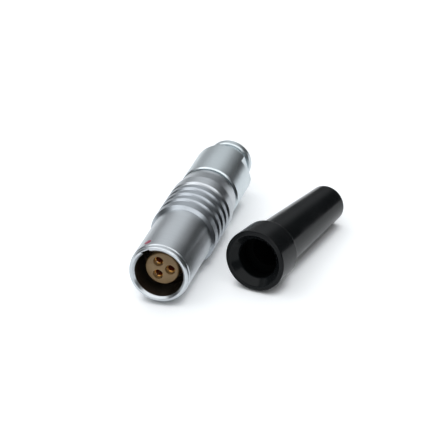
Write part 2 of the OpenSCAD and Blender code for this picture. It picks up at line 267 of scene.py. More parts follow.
def mesh_object(name: str, points: Array, quads: Array) -> Object:
    """Makes a smooth mesh with area-weighted normals.

    Args:
        name: name of the mesh and the object.
        points: vertices in metres, one row each.
        quads: the four vertex numbers of each face. A face with a repeated number
            becomes a triangle.

    Returns:
        The new object, linked to the scene.
    """
    kept = quads != np.roll(quads, -1, axis=1)
    corners = kept.sum(axis=1)
    mesh = bpy.data.meshes.new(name)
    mesh.vertices.add(len(points))
    mesh.vertices.foreach_set("co", points.astype(np.float32).ravel())
    mesh.loops.add(int(corners.sum()))
    mesh.loops.foreach_set("vertex_index", quads[kept].astype(np.int32))
    mesh.polygons.add(len(quads))
    mesh.polygons.foreach_set("loop_start", (np.cumsum(corners) - corners).astype(np.int32))
    mesh.polygons.foreach_set("use_smooth", np.ones(len(quads), bool))
    mesh.update(calc_edges=True)
    mesh.validate()
    mesh.normals_split_custom_set_from_vertices(area_normals(points, quads).tolist())
    return linked(name, mesh)


def linked(name: str, data: ID) -> Object:
    """Makes an object of a mesh, lamp or camera and links it to the scene."""
    thing = bpy.data.objects.new(name, data)
    bpy.context.scene.collection.objects.link(thing)
    return thing


def turned_mesh(name: str, grid: Array, capped: bool = False) -> Object:
    """Makes a closed mesh from a grid of points, with its faces pointing outwards.

    Six times the volume inside is the sum of corner . (edge x edge) over both
    triangles of each quad. Where that is below zero, every face is turned over.

    Args:
        name: name of the object.
        grid: points in metres, outline direction first and turning direction second.
        capped: whether the first and last rows have shrunk to single points. If not,
            the outline is closed.

    Returns:
        The new object.
    """
    index = np.arange(grid.shape[0] * grid.shape[1]).reshape(grid.shape[:2])
    near, far = index, np.roll(index, -1, axis=0)
    if capped:
        index[0], index[-1] = index[0, 0], index[-1, 0]
        near, far = index[:-1], index[1:]
    sides = [near, far, np.roll(far, -1, axis=1), np.roll(near, -1, axis=1)]
    used, quads = np.unique(np.stack(sides, axis=-1), return_inverse=True)
    points, quads = grid.reshape(-1, 3)[used], quads.reshape(-1, 4)
    a, b, c, d = (points[quads[:, i]] for i in range(4))
    volume = np.einsum("ij,ij->", a, np.cross(b, c) + np.cross(c, d))
    LOG.info("%s: %d vertices", name, len(points))
    return mesh_object(name, points, quads[:, ::-1] if volume < 0 else quads)


# ---------------- shader groups


class Nodes:
    """Short way to add and link the nodes of one tree.

    A source is a socket to link from, or a value to set; a colour is three numbers.
    """

    def __init__(self, tree: NodeTree) -> None:
        """Keeps the tree that nodes are added to."""
        self.tree = tree

    def feed(self, socket: NodeSocket, source: object) -> None:
        """Links a socket to another socket, or sets its value.

        Args:
            socket: the input to feed.
            source: what feeds it.
        """
        if isinstance(source, NodeSocket):
            self.tree.links.new(source, socket)
        else:
            socket.default_value = (*source, 1.0) if socket.type == "RGBA" else source

    def feed_named(self, node: Node, sources: Sources) -> None:
        """Feeds a node's inputs by their names."""
        for name, source in sources.items():
            self.feed(node.inputs[name], source)

    def add(
        self, kind: str, *sources: object, named: Sources | None = None, **settings: object
    ) -> Node:
        """Adds a node.

        Args:
            kind: identifier of the node's type.
            *sources: what feeds its first inputs, in their order.
            named: what feeds other inputs, by their names.
            **settings: its properties by name.

        Returns:
            The new node.
        """
        node = self.tree.nodes.new(kind)
        for key, value in settings.items():
            setattr(node, key, value)
        for socket, source in zip(node.inputs, sources):
            self.feed(socket, source)
        self.feed_named(node, named or {})
        return node

    def math(
        self, operation: str, first: object, second: object = 0.0, third: object = 0.0
    ) -> NodeSocket:
        """Adds a Math node and returns its output."""
        return self.add("ShaderNodeMath", first, second, third, operation=operation).outputs[0]

    def ramp(
        self, value: object, low: object, high: object, start: float = 0.0, end: float = 1.0
    ) -> NodeSocket:
        """Maps value from [low, high] to [start, end] smoothly, held at both ends."""
        ends = (value, low, high, start, end)
        return self.add("ShaderNodeMapRange", *ends, interpolation_type="SMOOTHSTEP").outputs[0]

    def noise(
        self, vector: object, scale: object, detail: float = 3.0, rough: float = 0.5
    ) -> NodeSocket:
        """Adds a Noise Texture that is read at a vector and returns its factor."""
        named = {"Vector": vector, "Scale": scale, "Detail": detail, "Roughness": rough}
        return self.add("ShaderNodeTexNoise", named=named).outputs[0]

    def mix(self, factor: object, first: object, second: object) -> NodeSocket:
        """Mixes two colours.

        Args:
            factor: share of the second colour.
            first: first colour.
            second: second colour.

        Returns:
            The mixed colour.
        """
        node = self.add("ShaderNodeMix", factor, data_type="RGBA")
        # A Mix node has its colour sockets behind those of the other data types.
        self.feed(node.inputs[6], first)
        self.feed(node.inputs[7], second)
        return node.outputs[2]

    def bump(self, height: object, strength: float, distance: float) -> NodeSocket:
        """Adds a Bump node that stands for a height in metres and returns its normal."""
        named = {"Strength": strength, "Distance": distance, "Height": height}
        return self.add("ShaderNodeBump", named=named).outputs[0]

    def here(self) -> NodeSocket:
        """The point's place on the piece, in metres."""
        return self.add("ShaderNodeTexCoord").outputs["Object"]

    def group(self, tree: NodeTree, **values: object) -> NodeOutputs:
        """Places a shader group, feeds its inputs by name and returns its outputs."""
        return self.add("ShaderNodeGroup", named=values, node_tree=tree).outputs


def new_group(
    name: str, inputs: dict[str, float], outputs: tuple[str, ...]
) -> tuple[NodeTree, NodeOutputs, NodeInputs]:
    """Starts a shader group whose inputs and outputs are plain numbers.

    Args:
        name: name of the group.
        inputs: each input's name and first value.
        outputs: names of the outputs.

    Returns:
        The group, the sockets that its inputs arrive at, and those that it puts out.
    """
    group = bpy.data.node_groups.new(name, "ShaderNodeTree")
    kind = "NodeSocketFloat"
    for label, value in inputs.items():
        socket = group.interface.new_socket(name=label, in_out="INPUT", socket_type=kind)
        socket.default_value = value
    for label in outputs:
        group.interface.new_socket(name=label, in_out="OUTPUT", socket_type=kind)
    start, end = (group.nodes.new(end) for end in ("NodeGroupInput", "NodeGroupOutput"))
    return group, start.outputs, end.inputs


def turning_marks_group() -> NodeTree:
    """Fine rings that a lathe tool and brush leave round the mating axis.

    The rings are noise of (radius, station, slow drift): radius is the root of
    x^2 + z^2, so they run round cylinders and are concentric on faces.
    """
    group, given, out = new_group(
        "turning marks", {"Density": 9000.0, "Drift": 5.2}, ("Height", "Mask")
    )
    n = Nodes(group)
    here = n.here()
    x, y, z = n.add("ShaderNodeSeparateXYZ", here).outputs
    square = n.math("ADD", n.math("MULTIPLY", x, x), n.math("MULTIPLY", z, z))
    ring = n.add(
        "ShaderNodeCombineXYZ",
        n.math("MULTIPLY", n.math("SQRT", square), given["Density"]),
        n.math("MULTIPLY", y, given["Density"]),
        n.math("MULTIPLY", n.noise(here, 420.0, 2.0), given["Drift"]),
    )
    lines = n.noise(ring.outputs[0], 1.0, 2.0, 0.65)
    n.feed(out["Height"], lines)
    n.feed(out["Mask"], n.ramp(lines, 0.35, 0.65))
    return group


def handling_group() -> NodeTree:
    """Faint blotches of handling: soft uneven patches."""
    group, given, out = new_group("handling", {"Patch Scale": 240.0}, ("Patches",))
    n = Nodes(group)
    patch = n.noise(n.here(), given["Patch Scale"], 4.0)
    n.feed(out["Patches"], n.ramp(patch, 0.3, 0.7))
    return group


def edge_group() -> NodeTree:
    """Mask of outward edges, from how much the surface there points away from itself."""
    group, given, out = new_group("edges", {"Start": 0.58, "End": 0.7}, ("Mask",))
    n = Nodes(group)
    sharp = n.add("ShaderNodeNewGeometry").outputs["Pointiness"]
    n.feed(out["Mask"], n.ramp(sharp, given["Start"], given["End"]))
    return group


@dataclass(frozen=True)
class Groups:
    """The shader groups that the finishes share, each built once."""

    turning: NodeTree = field(default_factory=turning_marks_group)
    handling: NodeTree = field(default_factory=handling_group)
    edges: NodeTree = field(default_factory=edge_group)


# ---------------- finishes


def new_material(name: str) -> tuple[Material, Nodes, Node]:
    """A material with one Principled shader, the helper for its tree, and the shader."""
    material = bpy.data.materials.new(name)
    material.use_nodes = True
    tree = material.node_tree
    return material, Nodes(tree), tree.nodes["Principled BSDF"]


@dataclass(frozen=True)
class TurnedPlate:
    """Satin plating over turned brass: fine rings, uneven sheen and cleaner edges."""

    light: Triple = (0.54, 0.573, 0.60)
    dark: Triple = (0.475, 0.505, 0.53)
    roughness: float = 0.28
    spread: float = 0.03
    ring_density: float = 9000.0
    ring_depth: float = 0.08
    ring_height: float = 0.00001
    ring_share: float = 0.45
    edge: Triple = (0.72, 0.735, 0.75)
    edge_share: float = 0.5
    draw_out: float = 0.6
    draw_turn: float = 0.25

    def build(self, name: str, groups: Groups) -> Material:
        """Makes the material.

        Rings move colour, roughness and height, and patches move roughness. The
        sheen is drawn out across the rings: the tangent runs round the mating axis
        and is turned by a quarter.

        Args:
            name: name of the material.
            groups: the shared shader groups.

        Returns:
            The new material.
        """
        material, n, shader = new_material(name)
        rings = n.group(groups.turning, Density=self.ring_density)
        patches = n.group(groups.handling)["Patches"]
        edges = n.group(groups.edges)["Mask"]
        base = n.mix(n.math("MULTIPLY", rings["Mask"], self.ring_share), self.light, self.dark)
        uneven = n.math("MULTIPLY_ADD", patches, self.spread, self.roughness)
        n.feed_named(shader, {
            "Base Color": n.mix(n.math("MULTIPLY", edges, self.edge_share), base, self.edge),
            "Metallic": 1.0,
            "Roughness": n.math("MULTIPLY_ADD", rings["Mask"], self.spread, uneven),
            "Anisotropic": self.draw_out,
            "Anisotropic Rotation": self.draw_turn,
            "Tangent": n.add("ShaderNodeTangent", direction_type="RADIAL", axis="Y").outputs[0],
            "Normal": n.bump(rings["Height"], self.ring_depth, self.ring_height),
        })
        return material


@dataclass(frozen=True)
class Moulded:
    """Moulded plastic or rubber: fine grain, faint colour drift and rubbed edges."""

    color: Triple
    drift: Triple
    rubbed: Triple
    roughness: float
    spread: float = 0.08
    grain_scale: float = 5200.0
    grain_depth: float = 0.2
    grain_height: float = 0.00002
    rub_share: float = 0.6
    specular: float = 0.5

    def build(self, name: str, groups: Groups) -> Material:
        """Makes the material.

        Patches move colour and roughness, grain moves height, and edges are rubbed
        lighter.

        Args:
            name: name of the material.
            groups: the shared shader groups.

        Returns:
            The new material.
        """
        material, n, shader = new_material(name)
        patches = n.group(groups.handling)["Patches"]
        edges = n.group(groups.edges)["Mask"]
        base = n.mix(patches, self.color, self.drift)
        grain = n.noise(n.here(), self.grain_scale, 3.0, 0.6)
        n.feed_named(shader, {
            "Base Color": n.mix(n.math("MULTIPLY", edges, self.rub_share), base, self.rubbed),
            "Roughness": n.math("MULTIPLY_ADD", patches, self.spread, self.roughness),
            "Specular IOR Level": self.specular,
            "Normal": n.bump(grain, self.grain_depth, self.grain_height),
        })
        return material


class Finish(Enum):
    """The finishes of this connector, each with its recipe."""

    SATIN_CHROME = TurnedPlate()
    PALE_CHROME = TurnedPlate((0.62, 0.68, 0.705), (0.55, 0.61, 0.635), 0.29)
    # A darker, rougher chrome with deeper rings, for the grip's lands and grooves
    BRUSHED_CHROME = TurnedPlate((0.415, 0.45, 0.485), (0.34, 0.37, 0.40), 0.3, ring_depth=0.16)
    PLAIN_NICKEL = TurnedPlate((0.60, 0.58, 0.52), (0.48, 0.46, 0.41), 0.3, ring_density=6000.0)
    # Painted shade: a dark copy of the plating for the shell's bore
    DARK_BORE = TurnedPlate((0.16, 0.135, 0.11), (0.10, 0.085, 0.07), 0.28, ring_density=5000.0)
    SPRING_BRONZE = TurnedPlate((0.62, 0.50, 0.33), (0.50, 0.39, 0.25), 0.3, ring_density=5000.0)
    GILT = TurnedPlate((0.74, 0.40, 0.11), (0.60, 0.30, 0.08), 0.28, ring_density=8000.0)
    SHADED_GILT = Moulded(
        (0.2, 0.035, 0.009), (0.15, 0.025, 0.006), (0.26, 0.06, 0.016), 0.45, specular=0.2
    )
    TAN_PLASTIC = Moulded((0.215, 0.14, 0.063), (0.17, 0.108, 0.044), (0.26, 0.18, 0.09), 0.45)
    BLACK_RUBBER = Moulded(
        (0.005, 0.006, 0.0066),
        (0.007, 0.008, 0.0088),
        (0.012, 0.012, 0.013),
        0.15,
        grain_scale=3800.0,
        grain_depth=0.1,
        specular=0.12,
    )
    SHADED_RUBBER = Moulded(
        (0.001, 0.0016, 0.0016), (0.0015, 0.002, 0.002), (0.003, 0.004, 0.004), 0.6, specular=0.03
    )
    RED_ENAMEL = Moulded((0.28, 0.016, 0.055), (0.34, 0.015, 0.06), (0.46, 0.05, 0.1), 0.3)

    @property
    def label(self) -> str:
        """The name of the finish's material."""
        return self.name.lower().replace("_", " ")


class Finishes:
    """Builds each finish once and hands out its material."""

    def __init__(self) -> None:
        """Builds the shared groups and every finish."""
        groups = Groups()
        self.made = {finish: finish.value.build(finish.label, groups) for finish in Finish}

    def dress(self, thing: Object, finish: Finish) -> None:
        """Makes this finish the only material of a piece."""
        thing.data.materials.clear()
        thing.data.materials.append(self.made[finish])

    def dress_stretch(
        self, thing: Object, finish: Finish, seat: Seat, stretches: list[Triple]
    ) -> None:
        """Gives another finish to some stretches of a turned piece.

        Args:
            thing: the dressed piece.
            finish: the finish of the stretches.
            seat: where the turned form's axis lies.
            stretches: a face gets the finish where its middle is nearer the axis than
                the first number and between the other two, which are stations.
        """
        faces = thing.data.polygons
        middle = np.empty(len(faces) * 3)
        faces.foreach_get("center", middle)
        radius, station = seat.measure(middle.reshape(-1, 3))
        index = np.empty(len(faces), dtype=np.int32)
        faces.foreach_get("material_index", index)
        for within, start, end in stretches:
            chosen = (radius < within) & (station > start) & (station < end)
            index[chosen] = len(thing.data.materials)
        thing.data.materials.append(self.made[finish])
        faces.foreach_set("material_index", index)


# ---------------- sub-assemblies


@dataclass
class Shell:
    """The turned outer shell, with its grip, keyway, guide land and latch groove."""

    length: float = 32.1
    grip_r: float = 6.25
    neck_r: float = 5.7
    neck_l: float = 4.1
    neck_taper_l: float = 3.2
    grip_l: float = 13.0
    first_land_l: float = 1.75
    groove_count: int = 4
    groove_pitch: float = 2.37
    groove_w: float = 1.15
    groove_depth: float = 0.35
    rim_chamfer: float = 0.2
    nose_r: float = 5.5
    nose_l: float = 0.9
    mouth_r: float = 4.55
    land_l: float = 1.9
    lead_in: float = 0.4
    relief: float = 0.2
    latch_s: float = 5.6
    latch_w: float = 1.4
    latch_depth: float = 0.3
    shoulder_s: float = 9.0
    house_r: float = 4.8
    thread_r: float = 4.95
    thread_l: float = 7.1
    thread_chamfer: float = 0.1
    key_w: float = 1.7
    key_depth: float = 0.55
    key_cos: float = 0.5
    dot_r: float = 0.7
    dot_depth: float = 0.2
    dot_wall: float = 0.06
    neck_chamfer: float = 0.15
    bore_rounding: float = 0.07
    # How far under the barrel a point still counts as its outside
    skin: float = 0.02
    # Half width of the stretch of finer rows at the dot, and their number
    dot_rows: tuple[float, int] = (0.75, 31)
    # Half width in degrees and number of the finer angles at the dot and the keyway
    key_bands: tuple[tuple[float, int], ...] = ((7.6, 33), (11.2, 57))
    angles: int = 192
    curve_steps: int = 6

    def outside(self) -> list[Triple]:
        """Radius, station and rounding of the outside's corners, from the rim backwards."""
        grip_end = self.length - self.neck_l
        chamfer_s = grip_end - self.grip_l
        grip_s = chamfer_s + self.grip_r - BARREL_R
        floor_r = self.grip_r - self.groove_depth
        corners = [
            (self.nose_r - self.rim_chamfer, 0.0, 0.06),
            (self.nose_r, self.rim_chamfer, 0.08),
            (self.nose_r, self.nose_l, 0.06),
            (BARREL_R, self.nose_l + BARREL_R - self.nose_r, 0.08),
            (BARREL_R, chamfer_s, 0.08),
            (self.grip_r, grip_s, 0.1),
        ]
        for i in range(self.groove_count):
            s = grip_s + self.first_land_l + i * self.groove_pitch
            corners += [
                (self.grip_r, s, 0.08),
                (floor_r, s + self.groove_w / 10, 0.1),
                (floor_r, s + self.groove_w - self.groove_depth, 0.36),
                (self.grip_r, s + self.groove_w, 0.08),
            ]
        return corners + [
            (self.grip_r, grip_end, 0.12),
            (self.neck_r, grip_end + self.neck_taper_l, 0.12),
            (self.neck_r, self.length - self.neck_chamfer, 0.07),
            (self.neck_r - self.neck_chamfer, self.length, 0.07),
        ]

    def inside(self) -> list[Triple]:
        """Radius, station and rounding of the inside's corners, from the rear face forwards."""
        relief_r = self.mouth_r + self.relief
        latch_r = relief_r + self.latch_depth
        thread_s = self.length - self.thread_l
        latch_end = self.latch_s + self.latch_w
        land_end = self.lead_in + self.land_l
        corners = [
            (self.thread_r + self.thread_chamfer, self.length),
            (self.thread_r, self.length - self.thread_chamfer),
            (self.thread_r, thread_s),
            (self.house_r, thread_s - (self.thread_r - self.house_r)),
            (self.house_r, self.shoulder_s),
            (self.mouth_r, self.shoulder_s),
            (self.mouth_r, latch_end + latch_r - self.mouth_r),
            (latch_r, latch_end),
            (latch_r, self.latch_s),
            (relief_r, self.latch_s),
            (relief_r, land_end + self.relief),
            (self.mouth_r, land_end),
            (self.mouth_r, self.lead_in),
            (self.mouth_r + self.lead_in, 0.0),
        ]
        return [(r, s, self.bore_rounding) for r, s in corners]

    def from_key(self, angle: Array) -> Array:
        """Turn from the key's middle, in radians, between minus and plus half a turn."""
        return np.angle(np.exp(1j * (angle - math.radians(KEY_ROLL))))

    def key_end(self) -> float:
        """Station at which the keyway ends: the middle of the latch groove."""
        return self.latch_s + self.latch_w / 2

    def keyway(self, points: Turned) -> Turned:
        """Pushes the bore out to the keyway's walls.

        At an angle d from the key's middle the slot reaches the nearer of its floor,
        depth / cos d, and its side, half width / sin d.

        Args:
            points: the surface.

        Returns:
            The surface with new radii.
        """
        radius, station, angle = points
        away = self.from_key(angle)
        floor_r = (self.mouth_r + self.key_depth) / np.maximum(np.cos(away), LEAST_COS)
        side_r = self.key_w / 2 / np.maximum(np.abs(np.sin(away)), LEAST_SIN)
        bore_r = self.nose_r - self.rim_chamfer - 0.05
        near = (radius < bore_r) & (station < self.key_end()) & (np.cos(away) > self.key_cos)
        slot = np.maximum(radius, np.minimum(floor_r, side_r))
        return points._replace(radius=np.where(near, slot, radius))

    def dimple(self, points: Turned) -> Turned:
        """Sinks the round dimple of the dot, with a floor at one distance from the axis.

        Args:
            points: the surface.

        Returns:
            The surface with new radii.
        """
        radius, station, angle = points
        distance = np.hypot(self.from_key(angle) * BARREL_R, station - DOT_S)
        share = np.clip((self.dot_r - distance) / self.dot_wall, 0.0, 1.0)
        sunk = np.where(radius > BARREL_R - self.skin, self.dot_depth * share, 0.0)
        return points._replace(radius=radius - sunk)

    def build(self, finishes: Finishes) -> None:
        """Makes the shell's surface in place of its node.

        Args:
            finishes: what dresses it.
        """
        half, count = self.dot_rows
        dot_rows = np.linspace(DOT_S - half, DOT_S + half, count)
        key_rows = [self.key_end() - 0.001, self.key_end()]
        outline = eased(self.outside() + self.inside(), self.curve_steps)
        outline = with_rows(outline, np.concatenate([dot_rows, key_rows]))
        angles = turn_angles(self.angles, *((KEY_ROLL, *band) for band in self.key_bands))
        points = self.dimple(self.keyway(turned(outline, angles)))
        thing = turned_mesh("shell_surface", SOCKET_SEAT.place(points))
        finishes.dress(thing, Finish.SATIN_CHROME)
        # The darker grip chrome starts on the grip's front chamfer and ends in its last groove.
        brushed_end = self.length - self.neck_l - self.neck_taper_l
        brushed_start = brushed_end - self.grip_l + self.grip_r - BARREL_R
        grip = (self.grip_r + 0.1, brushed_start + 0.05, brushed_end)
        finishes.dress_stretch(thing, Finish.BRUSHED_CHROME, SOCKET_SEAT, [grip])
        # The bore's painted shade starts just behind the lead-in and ends just before the rear
        # face.
        bore = (self.nose_r - 0.3, self.lead_in + 0.1, self.length - 0.2)
        finishes.dress_stretch(thing, Finish.DARK_BORE, SOCKET_SEAT, [bore])
        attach(thing, "socket")
        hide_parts("shell")


@dataclass
class ColletNut:
    """The collet nut: threaded spigot, body with wrench flats, neck and tail ring."""

    front: float = 32.9
    length: float = 10.7
    body_r: float = 5.8
    chamfer: float = 0.25
    rear_round: float = 0.3
    spigot_l: float = 6.6
    spigot_r: float = 4.90
    undercut: float = 0.2
    undercut_l: float = 0.9
    seat_r: float = 4.025
    cone_r: float = 3.375
    cone_from: float = 27.4
    cone_to: float = 29.9
    bore_r: float = 2.9
    bore_edge: float = 0.3
    tail_neck_r: float = 3.8
    tail_neck_l: float = 3.6
    ring_r: float = 4.45
    ring_l: float = 1.7
    ring_chamfer: float = 0.25
    ring_edge: float = 0.3
    flat_d: float = 5.2
    flat_l: float = 2.3
    flat_roll: float = 16.0
    # The flats leave points nearer the axis than this alone
    flat_above: float = 4.5
    pitch: float = 0.5
    thread_depth: float = 0.24
    # Height of the thread's trapezium wave before it is cut off at 1, its slope, and the
    # length over which the thread fades
    thread_top: float = 1.6
    thread_slope: float = 5.2
    thread_fade: float = 0.3
    # How far under the spigot a point still counts as its outside
    skin: float = 0.03
    rows_in_pitch: int = 8
    # Half width in degrees and number of the finer angles at each edge of a flat
    edge_band: tuple[float, int] = (0.5, 11)
    angles: int = 168
    curve_steps: int = 6

    def corners(self) -> list[Triple]:
        """Radius, station and rounding of the corners, from the spigot round the outside."""
        start, rear = self.front - self.spigot_l, self.front + self.length
        ring_s = rear + self.tail_neck_l
        end = ring_s + self.ring_l
        low = self.spigot_r - self.undercut
        return [
            (self.seat_r, start, 0.05),
            (low, start, 0.05),
            (self.spigot_r, start + self.undercut, 0.05),
            (self.spigot_r, self.front - self.undercut_l, 0.05),
            (low, self.front - self.undercut_l + self.undercut, 0.05),
            (low, self.front, 0.04),
            (self.body_r - self.chamfer, self.front, 0.07),
            (self.body_r, self.front + self.chamfer, 0.09),
            (self.body_r, rear, self.rear_round),
            (self.tail_neck_r, rear, 0.06),
            (self.tail_neck_r, ring_s, 0.06),
            (self.ring_r - self.ring_chamfer, ring_s, 0.07),
            (self.ring_r, ring_s + self.ring_chamfer, 0.07),
            (self.ring_r, end - self.ring_edge, 0.07),
            (self.ring_r - self.ring_edge, end, 0.07),
            (self.bore_r + self.bore_edge, end, 0.05),
            (self.bore_r, end - self.bore_edge, 0.05),
            (self.bore_r, self.cone_to + self.bore_edge, 0.05),
            (self.cone_r, self.cone_to + self.bore_edge, 0.05),
            (self.cone_r, self.cone_to, 0.02),
            (self.seat_r, self.cone_from, 0.05),
        ]

    def thread(self, points: Turned) -> Turned:
        """Cuts a helical groove: depth times a trapezium wave of station / pitch - turn.

        Args:
            points: the surface.

        Returns:
            The surface with new radii.
        """
        radius, station, angle = points
        phase = (station / self.pitch - angle / (2 * math.pi)) % 1.0
        wave = np.clip(self.thread_top - np.abs(phase - 0.5) * self.thread_slope, 0.0, 1.0)
        start = self.front - self.spigot_l + self.undercut
        stop = self.front - self.undercut_l
        fade = np.clip(np.minimum(station - start, stop - station) / self.thread_fade, 0, 1)
        outer = (radius > self.spigot_r - self.skin) & (station < self.front)
        cut = np.where(outer, self.thread_depth * wave * fade, 0.0)
        return points._replace(radius=radius - cut)

    def flats(self, points: Turned) -> Turned:
        """Limits the radius to distance / |cos| of the angle from the flats' middle.

        Args:
            points: the surface.

        Returns:
            The surface with new radii.
        """
        radius, station, angle = points
        away = np.abs(np.cos(angle - math.radians(self.flat_roll)))
        reach = self.flat_d / np.maximum(away, LEAST_COS)
        rear = self.front + self.length
        behind = (station > rear - self.flat_l) & (station < rear + 0.01)
        flat = behind & (radius > self.flat_above)
        return points._replace(radius=np.where(flat, np.minimum(radius, reach), radius))

    def build(self, finishes: Finishes) -> None:
        """Makes the nut's surface with its thread in place of its node.

        Args:
            finishes: what dresses it.
        """
        row_gap = self.pitch / self.rows_in_pitch
        thread_rows = np.arange(self.front - self.spigot_l, self.front, row_gap)
        flat_s = self.front + self.length - self.flat_l
        rows = np.concatenate([thread_rows, [flat_s - 0.0005, flat_s + 0.0005]])
        outline = with_rows(eased(self.corners(), self.curve_steps), rows)
        half = math.degrees(math.acos(self.flat_d / self.body_r))
        edges = [self.flat_roll + side + e for side in (0, 180) for e in (-half, half)]
        angles = turn_angles(self.angles, *((edge, *self.edge_band) for edge in edges))
        points = self.flats(self.thread(turned(outline, angles)))
        thing = turned_mesh("nut_surface", SOCKET_SEAT.place(points))
        finishes.dress(thing, Finish.PALE_CHROME)
        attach(thing, "nut")
        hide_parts("collet_nut")


@dataclass
class BendRelief:
    """The rubber bend relief, lying on its collar and its tip."""

    length: float = 31.4
    collar_r: float = 5.85
    collar_rear_r: float = 5.7
    collar_l: float = 6.2
    sleeve_r: float = 4.8
    tip_r: float = 3.7
    edge: float = 0.3
    root: float = 0.4
    dish_r: float = 5.0
    dish_l: float = 1.3
    lip_r: float = 3.7
    lip_l: float = 3.3
    pocket_r: float = 4.55
    pocket_end: float = 5.55
    throat_r: float = 3.0
    throat_l: float = 2.0
    exit_r: float = 2.5
    exit_l: float = 6.0
    mouth: tuple[float, float] = (15.2, 9.7)
    yaw: float = 11.9
    # First and last station of the sleeve's own rows, and their number
    sleeve_rows: tuple[float, float, int] = (7.6, 30.0, 24)
    angles: int = 160
    curve_steps: int = 8

    def seat(self) -> Seat:
        """Where it lies: its lean and height follow from the collar's and the tip's radii."""
        lean = math.atan((self.collar_rear_r - self.tip_r) / (self.length - self.collar_l))
        height = (
            FLOOR_Z
            + self.edge
            + (self.collar_rear_r - self.edge) * math.cos(lean)
            + (self.collar_l - self.edge) * math.sin(lean)
        )
        return Seat((*self.mouth, height), self.yaw, math.degrees(lean))

    def corners(self) -> list[Triple]:
        """Radius, station and rounding of the corners, from the mouth over the outside."""
        tip = self.length
        return [
            (self.collar_r, 0.0, self.edge),
            (self.collar_rear_r, self.collar_l, self.edge),
            (self.sleeve_r, self.collar_l, self.root),
            (self.tip_r, tip, self.edge),
            (self.exit_r, tip, self.edge / 2),
            (self.exit_r, tip - self.exit_l, 0.3),
            (self.throat_r, self.pocket_end + self.throat_l, 0.3),
            (self.throat_r, self.pocket_end, 0.1),
            (self.pocket_r, self.pocket_end, 0.1),
            (self.pocket_r, self.lip_l + self.pocket_r - self.lip_r, 0.1),
            (self.lip_r, self.lip_l, 0.1),
            (self.lip_r, self.dish_l, self.edge),
            (self.dish_r, 0.0, 0.15),
        ]

    def build(self, finishes: Finishes) -> None:
        """Makes the bend relief's surface in place of its node.

        Args:
            finishes: what dresses it.
        """
        outline = with_rows(eased(self.corners(), self.curve_steps), np.linspace(*self.sleeve_rows))
        points = turned(outline, turn_angles(self.angles))
        thing = turned_mesh("bend_relief_surface", self.seat().place(points))
        finishes.dress(thing, Finish.BLACK_RUBBER)
        # The hole is shaded from just inside the dish to just before the tip.
        pocket = (self.pocket_r + 0.05, self.dish_l + 0.15, self.pocket_end + 0.2)
        throat = (self.throat_r + 0.05, self.pocket_end, self.length - 0.3)
        finishes.dress_stretch(thing, Finish.SHADED_RUBBER, self.seat(), [pocket, throat])
        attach(thing, "socket")
        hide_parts("bend_relief")


@dataclass
class AlignmentDot:
    """The red enamel that fills the dimple, level with the barrel and a little domed."""

    radius: float = 0.69
    depth: float = 0.19
    dome: float = 0.03
    # Radii of the domed top's rings, in shares of the dot's radius
    top: tuple[float, ...] = (0.0, 0.3, 0.6, 0.8, 0.92, 0.98)
    # Radii of the edge's and the floor's rings, in the same shares
    under: tuple[float, ...] = (1.0, 1.0, 0.999, 0.6, 0.0)
    # How far the edge's two rings lie under the barrel
    edge_drop: tuple[float, float] = (0.01, 0.05)
    angles: int = 48

    def build(self, finishes: Finishes) -> None:
        """Makes the dot as a closed disc bent round the barrel.

        A point at distance d from the middle stands proud by dome times (1 - (d/r)^2),
        and the disc's edge turns down to its floor.

        Args:
            finishes: what dresses it.
        """
        ring = np.array([*self.top, *self.under])[:, None] * self.radius
        proud = self.dome * (1 - np.array(self.top) ** 2)
        floor = np.full(len(self.under) - len(self.edge_drop), -self.depth)
        high = np.concatenate([proud, -np.array(self.edge_drop), floor])
        turn = np.linspace(0, 2 * math.pi, self.angles, endpoint=False)
        radius = BARREL_R + np.repeat(high[:, None], len(turn), axis=1)
        station = DOT_S + ring * np.sin(turn)
        angle = math.radians(KEY_ROLL) + ring * np.cos(turn) / BARREL_R
        points = SOCKET_SEAT.place(Turned(radius, station, angle))
        thing = turned_mesh("alignment_dot_enamel", points, capped=True)
        finishes.dress(thing, Finish.RED_ENAMEL)
        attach(thing, "socket")
        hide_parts("alignment_dot")


@dataclass
class CarriedPieces:
    """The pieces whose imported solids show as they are, with their finishes."""

    nodes: dict[Finish, tuple[str, ...]] = field(
        default_factory=lambda: {
            Finish.SPRING_BRONZE: ("earthing_crown", "clip_1", "clip_2", "clip_3"),
            Finish.PLAIN_NICKEL: (
                "retaining_ring",
                "carrier_left",
                "carrier_right",
                "shield_cone",
                "collet",
            ),
            Finish.TAN_PLASTIC: ("insulator_front", "insulator_rear"),
            Finish.GILT: ("contact_1", "contact_2", "contact_3"),
        }
    )
    contact_pitch_r: float = 1.5
    contact_bore_r: float = 0.65
    contact_tip: float = 3.2
    # How far from the contact's tip its bore is shaded
    shaded_l: float = 8.0

    def build(self, finishes: Finishes) -> None:
        """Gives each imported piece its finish, and the contacts' bores their shaded one.

        Args:
            finishes: what dresses them.
        """
        for finish, nodes in self.nodes.items():
            for node in nodes:
                finishes.dress(frame["nodes"][node], finish)
                LOG.info("%s: %s", node, finish.label)
        contacts = self.nodes[Finish.GILT]
        start, end = self.contact_tip + 0.05, self.contact_tip + self.shaded_l
        bore = (self.contact_bore_r + 0.02, start, end)
        for i, node in enumerate(contacts):
            roll = math.radians(KEY_ROLL + i * 360 / len(contacts))
            x, z = self.contact_pitch_r * math.cos(roll), self.contact_pitch_r * math.sin(roll)
            contact = frame["nodes"][node]
            finishes.dress_stretch(contact, Finish.SHADED_GILT, Seat((x, 0.0, z)), [bore])


# ---------------- studio


def aim(thing: Object, at: Triple, direction: Triple | Array) -> None:
    """Stands a lamp or a camera at a point, level, looking in a direction."""
    thing.location = np.array(at) * MM
    thing.rotation_euler = Vector(direction).to_track_quat("-Z", "Y").to_euler()


